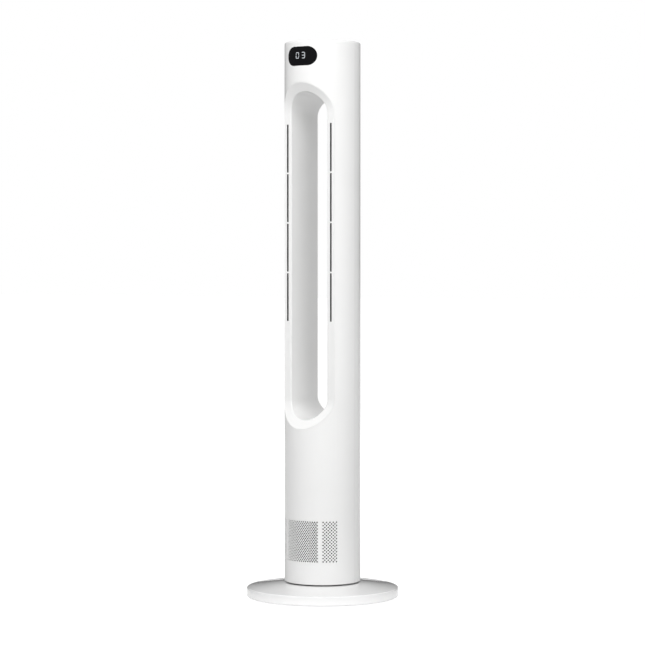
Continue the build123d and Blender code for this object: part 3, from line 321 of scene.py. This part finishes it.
@dataclass(frozen=True)
class WovenMesh(Finish):
    """Fine cloth of dark nylon threads on a sleeve round the tower's axis.

    Attributes:
        thread: Pitch of the threads in metres.
        sleeve: Radius of the sleeve in metres.
    """

    thread: float = 0.0008
    sleeve: float = 0.065

    def shader(self, graph: Graph) -> bpy.types.NodeSocket:
        """Threads that cross at right angles, with painted shade in the gaps between them."""
        parts = graph.add("SeparateXYZ", {0: graph.position()}).outputs
        turn = graph.math("MULTIPLY", graph.math("ARCTAN2", parts[1], parts[0]), self.sleeve)
        pitch = 2.0 * math.pi / self.thread
        around = graph.math("SINE", graph.math("MULTIPLY", turn, pitch))
        upwards = graph.math("SINE", graph.math("MULTIPLY", parts[2], pitch))
        weave = graph.span(graph.math("MAXIMUM", around, upwards), 0.0, 1.0, -0.2, 0.9)
        # Painted shade: the gaps between threads are darkened to stand for the shade behind them.
        shaded_gap = tuple(c * 0.3 for c in self.colour)
        return graph.add(
            "BsdfPrincipled",
            {
                "Base Color": graph.mix(weave, shaded_gap, self.colour),
                "Roughness": graph.span(weave, 0.8, self.roughness, 0.0, 1.0),
                "Normal": graph.bump(weave, self.thread * 0.2),
            },
        ).outputs[0]


@dataclass(frozen=True)
class SmokedWindow(Finish):
    """Polished dark acrylic."""

    def shader(self, graph: Graph) -> bpy.types.NodeSocket:
        """Nearly flat, with the faint sag of a moulded window and fine wipe marks."""
        sag = graph.bump(graph.noise(0.02, 1.0), 0.000006)
        wiped = graph.noise(0.0006, 2.0, (12.0, 1.0, 1.0))
        dull = graph.span(wiped, self.roughness * 0.8, self.roughness * 1.5)
        return graph.add(
            "BsdfPrincipled",
            {
                "Base Color": self.shades(graph, 0.02, 0.2),
                "Roughness": dull,
                "Normal": sag,
                "IOR": 1.36,
            },
        ).outputs[0]


@dataclass(frozen=True)
class LitBar(Finish):
    """Diffuser bar of a lit digit.

    Attributes:
        glow: Strength of its own light.
    """

    glow: float = 0.5

    def shader(self, graph: Graph) -> bpy.types.NodeSocket:
        """Milky plastic that glows a little unevenly."""
        uneven = graph.span(graph.noise(0.002, 1.0), 0.85, 1.05)
        light = graph.mix(uneven, (0.0, 0.0, 0.0), self.colour)
        return graph.add(
            "BsdfPrincipled",
            {
                "Base Color": self.shades(graph, 0.003, 0.1),
                "Roughness": self.roughness,
                "Emission Color": light,
                "Emission Strength": self.glow,
            },
        ).outputs[0]


@dataclass(frozen=True)
class Metal(Finish):
    """Bare or plated metal.

    Attributes:
        lay: How its surface was worked.
        line: Width of one tool mark in metres.
        mark_depth: Depth of the tool marks in metres.
    """

    lay: Lay = Lay.DRAWN
    line: float = 0.0003
    mark_depth: float = 0.000004

    def marks(self, graph: Graph) -> bpy.types.NodeSocket:
        """Height of the tool marks."""
        if self.lay is Lay.TURNED:
            parts = graph.add("SeparateXYZ", {0: graph.position()}).outputs
            square = graph.math(
                "ADD", graph.math("POWER", parts[0], 2.0), graph.math("POWER", parts[1], 2.0)
            )
            rings = graph.math("DIVIDE", graph.math("SQRT", square), self.line)
            noise = graph.add("TexNoise", {"W": rings, "Scale": 1.0}, noise_dimensions="1D")
            return noise.outputs[0]
        stretch = {
            Lay.DRAWN: (1.0, 1.0, 30.0),
            Lay.CAST: (1.0, 1.0, 1.0),
            Lay.POLISHED: (3.0, 1.0, 3.0),
        }[self.lay]
        return graph.noise(self.line, 4.0, stretch)

    def shader(self, graph: Graph) -> bpy.types.NodeSocket:
        """Metal with tool marks and cloudy dull patches."""
        dull = graph.span(graph.noise(0.004, 3.0), self.roughness * 0.8, self.roughness * 1.3)
        return graph.add(
            "BsdfPrincipled",
            {
                "Base Color": self.shades(graph, 0.005, 0.12),
                "Metallic": 1.0,
                "Roughness": dull,
                "Normal": graph.bump(self.marks(graph), self.mark_depth),
            },
        ).outputs[0]


@dataclass(frozen=True)
class Casting(Finish):
    """Rough sand-cast or pressed piece under a thin paint.

    Attributes:
        pit: Width of one pit in metres.
        pit_depth: Depth of the pits in metres.
    """

    pit: float = 0.0012
    pit_depth: float = 0.00012

    def shader(self, graph: Graph) -> bpy.types.NodeSocket:
        """Pitted surface whose high spots are rubbed lighter."""
        pits = graph.noise(self.pit, 5.0)
        rubbed = tuple(min(1.0, c * 1.9) for c in self.colour)
        high_spots = graph.span(pits, 0.0, 1.0, 0.55, 0.75)
        return graph.add(
            "BsdfPrincipled",
            {
                "Base Color": graph.mix(high_spots, self.colour, rubbed),
                "Roughness": graph.span(pits, self.roughness + 0.1, self.roughness - 0.1),
                "Normal": graph.bump(pits, self.pit_depth),
            },
        ).outputs[0]


@dataclass(frozen=True)
class Laminated(Finish):
    """Stack of thin punched sheets.

    Attributes:
        sheet: Thickness of one sheet in metres.
    """

    sheet: float = 0.0005

    def shader(self, graph: Graph) -> bpy.types.NodeSocket:
        """Fine level lines, with varnish in between."""
        height = graph.add("SeparateXYZ", {0: graph.position()}).outputs[2]
        turns = graph.math("MULTIPLY", height, 2.0 * math.pi / self.sheet)
        lines = graph.span(graph.math("SINE", turns), 0.0, 1.0, -1.0, 1.0)
        varnish = tuple(c * 0.45 for c in self.colour)
        patches = graph.noise(0.003)
        return graph.add(
            "BsdfPrincipled",
            {
                "Base Color": graph.mix(lines, varnish, self.colour),
                "Metallic": 0.7,
                "Roughness": graph.span(patches, self.roughness - 0.1, self.roughness + 0.1),
                "Normal": graph.bump(lines, self.sheet * 0.1),
            },
        ).outputs[0]


@dataclass(frozen=True)
class Board(Finish):
    """Circuit board under a coloured mask.

    Attributes:
        track: Pitch of the copper tracks in metres.
        copper: Colour of bare pads.
    """

    track: float = 0.0012
    copper: Colour = (0.72, 0.42, 0.18)

    def shader(self, graph: Graph) -> bpy.types.NodeSocket:
        """Raised tracks in steps, with small bare pads."""
        scaled = graph.add(
            "Mapping", {"Vector": graph.position(), "Scale": (1 / self.track,) * 3}
        ).outputs[0]
        cells = graph.add(
            "TexVoronoi", {"Vector": scaled, "Scale": 0.35, "Randomness": 0.35},
            distance="CHEBYCHEV",
        )
        tracks = graph.math("PINGPONG", graph.math("MULTIPLY", cells.outputs["Distance"], 3.0), 0.5)
        raised = graph.span(tracks, 0.0, 1.0, 0.2, 0.3)
        pads = graph.math("LESS_THAN", cells.outputs["Distance"], 0.12)
        light = tuple(min(1.0, c * 1.7) for c in self.colour)
        mask = graph.mix(raised, self.colour, light)
        return graph.add(
            "BsdfPrincipled",
            {
                "Base Color": graph.mix(pads, mask, self.copper),
                "Metallic": graph.math("MULTIPLY", pads, 0.8),
                "Roughness": graph.span(raised, self.roughness, self.roughness + 0.15, 0.0, 1.0),
                "Normal": graph.bump(raised, 0.00004),
            },
        ).outputs[0]


SATIN_WHITE = MouldedPlastic("satin_white", (0.86, 0.86, 0.855), 0.24)
GLOSS_WHITE = MouldedPlastic(
    "gloss_white", (0.90, 0.90, 0.90), 0.2, grain_depth=0.0000005, ripple_depth=0.000006,
    gloss=0.9, gloss_roughness=0.04,
)
INNER_GREY = MouldedPlastic("inner_grey", (0.72, 0.73, 0.74), 0.5, grain=0.001, grain_depth=0.00002)
DARK_MOULDING = MouldedPlastic(
    "dark_moulding", (0.09, 0.09, 0.10), 0.45, grain=0.0008, grain_depth=0.00002, drift=0.15
)
# Painted shade: the ducts are dressed near black so that the air slits look dark inside.
PAINTED_SHADE_DUCT = MouldedPlastic(
    "painted_shade_duct", (0.03, 0.03, 0.033), 0.55, grain=0.0008, grain_depth=0.00002, drift=0.15
)
DUST_MESH = WovenMesh("dust_mesh", (0.03, 0.03, 0.033), 0.6)
NYLON = MouldedPlastic("nylon", (0.82, 0.80, 0.72), 0.42, grain=0.0015, grain_depth=0.00001)
WINDOW = SmokedWindow("smoked_window", (0.004, 0.004, 0.005), 0.1)
DIGITS = LitBar("lit_bars", (0.80, 0.84, 0.88), 0.5, glow=0.15)
STEEL = Metal("zinc_plated_steel", (0.62, 0.62, 0.63), 0.3, lay=Lay.CAST)
GROUND_STEEL = Metal("ground_steel", (0.62, 0.62, 0.63), 0.22, lay=Lay.TURNED)
CHROME = Metal("ball_chrome", (0.75, 0.76, 0.78), 0.06, lay=Lay.POLISHED, mark_depth=0.0000005)
ALUMINIUM = Metal("die_cast_aluminium", (0.66, 0.67, 0.69), 0.42, lay=Lay.CAST, line=0.001,
                  mark_depth=0.00003)
IRON = Casting("painted_iron", (0.16, 0.16, 0.17), 0.6)
MAGNET = Casting("coated_magnet", (0.12, 0.12, 0.13), 0.5, pit=0.0004, pit_depth=0.00002)
SHEETS = Laminated("laminated_core", (0.35, 0.35, 0.36), 0.45)
BOARD = Board("board_green", (0.03, 0.20, 0.09), 0.35)
RUBBER = Casting("foot_rubber", (0.05, 0.05, 0.055), 0.8, pit=0.0006, pit_depth=0.00003)


# ---------------------------------------------------------------- meshes
Point = tuple[float, float]


def add_piece(name: str, mesh: bmesh.types.BMesh, finish: Finish, body: Body) -> bpy.types.Object:
    """Turns a finished mesh into a piece that rides on a body.

    Args:
        name: Name of the piece.
        mesh: Its mesh in the frame's coordinates, which is used up.
        finish: What it is dressed in.
        body: The body that it rides on.

    Returns:
        The piece.
    """
    bmesh.ops.recalc_face_normals(mesh, faces=mesh.faces)
    data = bpy.data.meshes.new(name)
    mesh.to_mesh(data)
    mesh.free()
    data.shade_smooth()
    data.set_sharp_from_angle(angle=math.radians(35.0))
    data.materials.append(finish.material())
    piece = bpy.data.objects.new(name, data)
    bpy.context.scene.collection.objects.link(piece)
    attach(piece, body.value)
    LOG.info("built %s in %s, %d faces", name, finish.name, len(data.polygons))
    return piece


def lathe(mesh: bmesh.types.BMesh, profile: Sequence[Point], steps: int, place: Matrix) -> None:
    """Adds a turned shape to a mesh.

    Args:
        mesh: The mesh that it joins.
        profile: (radius, height) points from the axis round to the axis.
        steps: Facets round the axis.
        place: Where its axis stands.
    """
    rings: list[list[bmesh.types.BMVert]] = []
    for radius, height in profile:
        if radius < 1e-6:
            rings.append([mesh.verts.new(place @ Vector((0.0, 0.0, height)))])
            continue
        turns = [2.0 * math.pi * i / steps for i in range(steps)]
        rings.append([
            mesh.verts.new(place @ Vector((radius * math.cos(t), radius * math.sin(t), height)))
            for t in turns
        ])
    for inner, outer in zip(rings, rings[1:]):
        for i in range(steps):
            j = (i + 1) % steps
            corners = [inner[i % len(inner)], inner[j % len(inner)],
                       outer[j % len(outer)], outer[i % len(outer)]]
            unique = list(dict.fromkeys(corners))
            if len(unique) > 2:
                mesh.faces.new(unique)


def arc(centre: Point, radius: float, start: float, end: float, steps: int = 6) -> list[Point]:
    """Points on a circle.

    Args:
        centre: Its middle.
        radius: Its radius.
        start: First angle in degrees.
        end: Last angle in degrees.
        steps: Number of chords.

    Returns:
        The points.
    """
    angles = [math.radians(start + (end - start) * i / steps) for i in range(steps + 1)]
    return [(centre[0] + radius * math.cos(a), centre[1] + radius * math.sin(a)) for a in angles]


def dress(node: str, finish: Finish) -> None:
    """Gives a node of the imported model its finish."""
    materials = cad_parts[node].data.materials
    materials.clear()
    materials.append(finish.material())
    LOG.info("dressed %s in %s", node, finish.name)


# ---------------------------------------------------------------- sub-assemblies
@dataclass
class SubAssembly(ABC):
    """Pieces that belong together."""

    @abstractmethod
    def finishes(self) -> dict[str, Finish]:
        """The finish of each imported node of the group."""

    def build(self) -> None:
        """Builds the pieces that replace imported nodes, if the group has any."""

    def dress(self) -> None:
        """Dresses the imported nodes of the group."""
        for node, finish in self.finishes().items():
            dress(node, finish)


@dataclass
class Base(SubAssembly):
    """Disc base with its feet, weight and power socket.

    Attributes:
        foot_count: Number of rubber feet.
        foot_radius: Radius of a foot.
        foot_height: Height of a foot.
        foot_ring: Radius of the circle that the feet stand on.
        foot_edge: Rounding of a foot's lower edge.
        groove: Radius of the grip groove under a foot.
        groove_depth: Depth of that groove.
    """

    foot_count: int = 5
    foot_radius: float = 0.010
    foot_height: float = 0.0025
    foot_ring: float = 0.116
    foot_edge: float = 0.0008
    groove: float = 0.0055
    groove_depth: float = 0.0005

    def finishes(self) -> dict[str, Finish]:
        """Glossy cover outside, dark and metal pieces below and inside."""
        return {
            "base_cover": GLOSS_WHITE,
            "base_plate": DARK_MOULDING,
            "base_weight": IRON,
            "base_screws": STEEL,
            "power_socket": DARK_MOULDING,
        }

    def build(self) -> None:
        """Moulded rubber feet in place of the plain discs."""
        edge = arc(
            (self.foot_radius - self.foot_edge, self.foot_edge), self.foot_edge, -90.0, 0.0
        )
        dip = arc((self.groove, 0.0), self.groove_depth, 180.0, 0.0)
        profile = [(0.0, 0.0), *dip, *edge, (self.foot_radius, self.foot_height),
                   (0.0, self.foot_height)]
        mesh = bmesh.new()
        for index in range(self.foot_count):
            angle = math.radians(90.0 + 180.0 / self.foot_count + 360.0 * index / self.foot_count)
            place = Matrix.Translation(
                (self.foot_ring * math.cos(angle), self.foot_ring * math.sin(angle), 0.0)
            )
            lathe(mesh, profile, 48, place)
        feet = add_piece("moulded_feet", mesh, RUBBER, Body.BASE)
        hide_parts("rubber_feet")


@dataclass
class Turntable(SubAssembly):
    """Bearing and gears that let the tower swing."""

    def finishes(self) -> dict[str, Finish]:
        """Steel races, chrome balls and nylon gears."""
        return {
            "pivot_hub": INNER_GREY,
            "hub_screws": STEEL,
            "lower_race": GROUND_STEEL,
            "upper_race": GROUND_STEEL,
            "bearing_balls": CHROME,
            "ball_cage": NYLON,
            "sun_gear": NYLON,
            "gear_screws": STEEL,
            "drive_pinion": NYLON,
            "pinion_shaft": GROUND_STEEL,
            "swing_motor": ALUMINIUM,
            "swing_motor_screws": STEEL,
            "tower_floor": INNER_GREY,
        }


@dataclass
class Electronics(SubAssembly):
    """Control board with its larger parts."""

    def finishes(self) -> dict[str, Finish]:
        """Green board, dark sleeves and ivory connectors."""
        return {
            "control_board": BOARD,
            "board_screws": STEEL,
            "board_capacitors": DARK_MOULDING,
            "board_connectors": NYLON,
        }


@dataclass
class AirPath(SubAssembly):
    """Intake, impeller, motor and ducts."""

    def finishes(self) -> dict[str, Finish]:
        """Grey mouldings round a metal motor and a dark impeller, with near-black ducts and a dark
        intake that are painted shade.
        """
        return {
            # Painted shade: the intake deck and inlet ring are dressed dark so that the vent holes
            # look dark inside.
            "intake_deck": DARK_MOULDING,
            "inlet_ring": DARK_MOULDING,
            "dust_screen": DUST_MESH,
            "fan_housing": INNER_GREY,
            "guide_vanes": INNER_GREY,
            "pod_cap": INNER_GREY,
            "duct_manifold": INNER_GREY,
            # Painted shade: near-black ducts so that the slits look dark.
            "left_duct": PAINTED_SHADE_DUCT,
            "right_duct": PAINTED_SHADE_DUCT,
            "impeller": DARK_MOULDING,
            "impeller_nut": STEEL,
            "motor_shaft": GROUND_STEEL,
            "motor_rotor": MAGNET,
            "motor_gasket": RUBBER,
            "motor_case": ALUMINIUM,
            "motor_stator": SHEETS,
            "motor_bearings": GROUND_STEEL,
            "motor_screws": STEEL,
        }


@dataclass
class TowerWall(SubAssembly):
    """Outer wall with the slot's faces and the vents."""

    def finishes(self) -> dict[str, Finish]:
        """One satin white all over."""
        white = (
            "slot_liner", "front_bezel", "rear_bezel", "front_casing", "rear_casing",
            "front_grille", "front_left_grille", "front_right_grille",
            "rear_grille", "rear_left_grille", "rear_right_grille", "top_cap",
        )
        return {**{node: SATIN_WHITE for node in white}, "casing_screws": STEEL}


@dataclass
class Head(SubAssembly):
    """Display behind its window at the top of the front."""

    def finishes(self) -> dict[str, Finish]:
        """Black window, lit digits and the board behind them."""
        return {
            "head_plate": INNER_GREY,
            "display_board": BOARD,
            "display_screws": STEEL,
            "digit_module": DARK_MOULDING,
            "digit_segments": DIGITS,
            "display_window": WINDOW,
        }


# ---------------------------------------------------------------- studio
@dataclass
class Lamp:
    """A soft square lamp.

    Attributes:
        name: Its name.
        azimuth: Side that it stands on, in degrees from the front towards +X.
        distance: Metres from the tower's axis.
        height: Metres above the floor.
        power: Its power in watts.
        aim: Height of the point on the axis that it faces.
        size: Length of its sides.
    """

    name: str
    azimuth: float
    distance: float
    height: float
    power: float
    aim: float = 0.6
    size: float = 2.0

    def place(self) -> None:
        """Stands the lamp in the studio."""
        data = bpy.data.lights.new(self.name, "AREA")
        data.shape = "SQUARE"
        data.size = self.size
        data.energy = self.power
        lamp = bpy.data.objects.new(self.name, data)
        lamp.visible_glossy = False
        bpy.context.scene.collection.objects.link(lamp)
        angle = math.radians(self.azimuth)
        lamp.location = (
            self.distance * math.sin(angle), -self.distance * math.cos(angle), self.height
        )
        towards = Vector((0.0, 0.0, self.aim)) - lamp.location
        lamp.rotation_euler = towards.to_track_quat("-Z", "Y").to_euler()
        LOG.info("placed %s", self.name)


@dataclass
class Studio:
    """Pale floor, white surroundings, soft lamps and the camera.

    Attributes:
        floor_reach: Half the side of the floor.
        camera_azimuth: Side that the camera stands on, in degrees from the front.
        camera_distance: Metres from the tower's axis.
        camera_height: Metres above the floor.
        camera_pitch: Degrees that the camera looks down.
        lens: Focal length in millimetres.
        sensor: Width of the sensor in millimetres.
        front_fill: Light that the surroundings throw from the camera's side.
        rear_fill: Light that they throw from the far side.
        sky_fill: Light that they add from straight above.
        sky_gloss: How bright the sky looks in glossy surfaces, over a dim horizon.
        front_gloss: How bright the horizon on the camera's side looks in them.
        rear_gloss: How bright the far horizon looks in them.
        floor_fill: Light that the floor adds from below.
        floor_gloss: Share of the floor's whiteness that shows in glossy surfaces.
        floor_veil: Whiteness that the floor has where nothing lights it.
        floor_shadow: Share of the lamps' light that the floor shows, and loses in shadow.
        dim_floor: Grey of the floor that lights the lower tower.
        pale_floor: Grey of the floor beside the base's rim, and far from the fan.
        rim_reach: Distances between which the pale floor beside the rim ends.
        shade_reach: Distances between which the floor turns pale again.
    """

    floor_reach: float = 30.0
    camera_azimuth: float = 35.48
    camera_distance: float = 4.2075
    camera_height: float = 0.5986
    camera_pitch: float = 1.4323
    lens: float = 130.765
    sensor: float = 36.0
    front_fill: float = 1.05
    rear_fill: float = 0.12
    sky_fill: float = 0.2
    sky_gloss: float = 0.8
    front_gloss: float = 0.15
    rear_gloss: float = 0.02
    floor_fill: float = 0.1
    floor_gloss: float = 0.25
    floor_veil: float = 0.9
    floor_shadow: float = 0.3
    dim_floor: float = 0.12
    pale_floor: float = 0.8
    rim_reach: Point = (0.17, 0.22)
    shade_reach: Point = (0.3, 1.1)

    def build(self) -> None:
        """Builds the whole studio."""
        self.build_floor()
        self.build_surroundings()
        for lamp in (
            Lamp("key_lamp", azimuth=6.0, distance=3.2, height=3.4, power=60.0),
            Lamp("side_lamp", azimuth=67.0, distance=4.0, height=2.4, power=44.0),
            Lamp("top_lamp", azimuth=0.0, distance=0.3, height=2.6, power=3.0, aim=0.0, size=1.4),
            Lamp("rear_lamp", azimuth=215.5, distance=4.0, height=2.4, power=46.0),
        ):
            lamp.place()
        self.place_camera()
        view = bpy.context.scene.view_settings
        view.view_transform = "Standard"

    def seen(self, graph: Graph) -> bpy.types.NodeSocket:
        """1 for rays that show the surroundings as they look, 0 for rays that light things."""
        path = graph.add("LightPath").outputs
        clear = graph.math("MAXIMUM", path["Is Camera Ray"], path["Is Transmission Ray"])
        gloss = graph.math("MULTIPLY", path["Is Glossy Ray"], self.floor_gloss)
        return graph.math("MAXIMUM", clear, gloss)

    def glowing(self, graph: Graph, colour: Value, glow: float) -> bpy.types.NodeSocket:
        """Matt surface of a colour that also gives off white light."""
        matt = graph.add("BsdfDiffuse", {"Color": colour}).outputs[0]
        light = graph.add("Emission", {"Color": WHITE, "Strength": glow}).outputs[0]
        return graph.add("AddShader", {0: matt, 1: light}).outputs[0]

    def build_floor(self) -> None:
        """Pale floor that looks white but keeps a faint shadow.

        It lights the base's rim and the tower's upper part more than the tower's foot.
        """
        mesh = bmesh.new()
        bmesh.ops.create_grid(mesh, x_segments=8, y_segments=8, size=self.floor_reach)
        data = bpy.data.meshes.new("floor")
        mesh.to_mesh(data)
        mesh.free()
        material = bpy.data.materials.new("pale_floor")
        material.use_nodes = True
        graph = Graph(material.node_tree)
        reach = graph.add(
            "VectorMath", {0: graph.position()}, operation="LENGTH"
        ).outputs["Value"]
        beside_rim = graph.span(reach, 1.0, 0.0, *self.rim_reach)
        far_off = graph.span(reach, 0.0, 1.0, *self.shade_reach)
        pale = graph.math("MAXIMUM", beside_rim, far_off)
        grey = graph.mix(pale, (self.dim_floor,) * 3, (self.pale_floor,) * 3)
        lit = self.glowing(graph, grey, self.floor_fill)
        looks = self.glowing(graph, (self.floor_shadow,) * 3, self.floor_veil)
        graph.surface(
            graph.add("MixShader", {0: self.seen(graph), 1: lit, 2: looks}).outputs[0]
        )
        data.materials.append(material)
        floor = bpy.data.objects.new("floor", data)
        bpy.context.scene.collection.objects.link(floor)

    def build_surroundings(self) -> None:
        """White behind the object, dimmer near the horizon in its gloss, soft light all round."""
        world = bpy.data.worlds.new("studio")
        bpy.context.scene.world = world
        world.use_nodes = True
        graph = Graph(world.node_tree)
        path = graph.add("LightPath").outputs
        direction = graph.add("TexCoord").outputs["Generated"]
        angle = math.radians(self.camera_azimuth)
        front = graph.add(
            "VectorMath", {0: direction, 1: (math.sin(angle), -math.cos(angle), 0.0)},
            operation="DOT_PRODUCT",
        ).outputs["Value"]
        up = graph.add("SeparateXYZ", {0: direction}).outputs[2]
        around = graph.span(front, self.rear_fill, self.front_fill, -0.3, 1.0)
        fill = graph.math("ADD", around, graph.span(up, 0.0, self.sky_fill, 0.2, 1.0))
        sky = graph.span(up, 0.0, self.sky_gloss, 0.02, 0.6)
        horizon = graph.span(front, self.rear_gloss, self.front_gloss, -0.8, 0.8)
        gloss = graph.math("ADD", sky, horizon)
        light = graph.mix_values(path["Is Glossy Ray"], fill, gloss)
        clear = graph.math("MAXIMUM", path["Is Camera Ray"], path["Is Transmission Ray"])
        strength = graph.mix_values(clear, light, 1.0)
        background = graph.add(
            "Background", {"Color": WHITE, "Strength": strength}
        ).outputs[0]
        graph.add("OutputWorld", {"Surface": background})

    def place_camera(self) -> None:
        """Camera where the photograph was taken from."""
        data = bpy.data.cameras.new("camera")
        data.lens = self.lens
        data.sensor_width = self.sensor
        data.clip_end = 100.0
        camera = bpy.data.objects.new("camera", data)
        bpy.context.scene.collection.objects.link(camera)
        angle = math.radians(self.camera_azimuth)
        camera.location = (
            self.camera_distance * math.sin(angle),
            -self.camera_distance * math.cos(angle),
            self.camera_height,
        )
        camera.rotation_euler = (math.radians(90.0 - self.camera_pitch), 0.0, angle)
        bpy.context.scene.camera = camera


def main() -> None:
    """Builds and dresses the fan, then the studio round it."""
    logging.basicConfig(level=logging.INFO, format="%(name)s: %(message)s")
    for group in (Base(), Turntable(), Electronics(), AirPath(), TowerWall(), Head()):
        group.build()
        group.dress()
    Studio().build()


if __name__ == "__main__":
    main()
